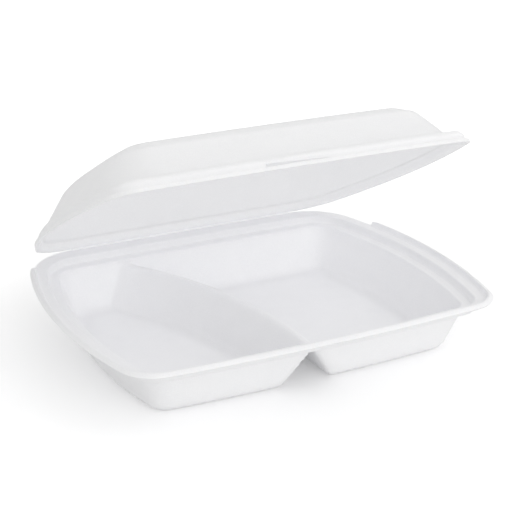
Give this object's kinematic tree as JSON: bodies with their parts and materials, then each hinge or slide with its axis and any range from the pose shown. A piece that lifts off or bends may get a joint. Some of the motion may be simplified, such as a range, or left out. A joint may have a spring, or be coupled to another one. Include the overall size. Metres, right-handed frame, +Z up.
{
  "type": "foam clamshell container",
  "caption": "Hinged foam takeaway box: a shallow tray with two wells and a stepped rim, and a domed lid that stands half open on a crease.",
  "frame": {"origin": "on the resting plane, under the middle of the object's width and depth as it stands open", "axes": "+X along the hinge towards the large well, +Y from the latch side to the hinge, +Z up"},
  "size_m": [0.24, 0.19, 0.1341],
  "materials": {
    "foam": "matte white foamed polystyrene with a fine grain"
  },
  "bodies": {
    "tray": {"tray": "foam"},
    "lid": {"lid": "foam"}
  },
  "joints": [
    {"name": "lid_hinge", "type": "hinge", "parent": "tray", "child": "lid", "pos_m": [0, 0.094, 0.03265], "axis": [-1, 0, 0], "range_deg": [-29, 151]}
  ]
}
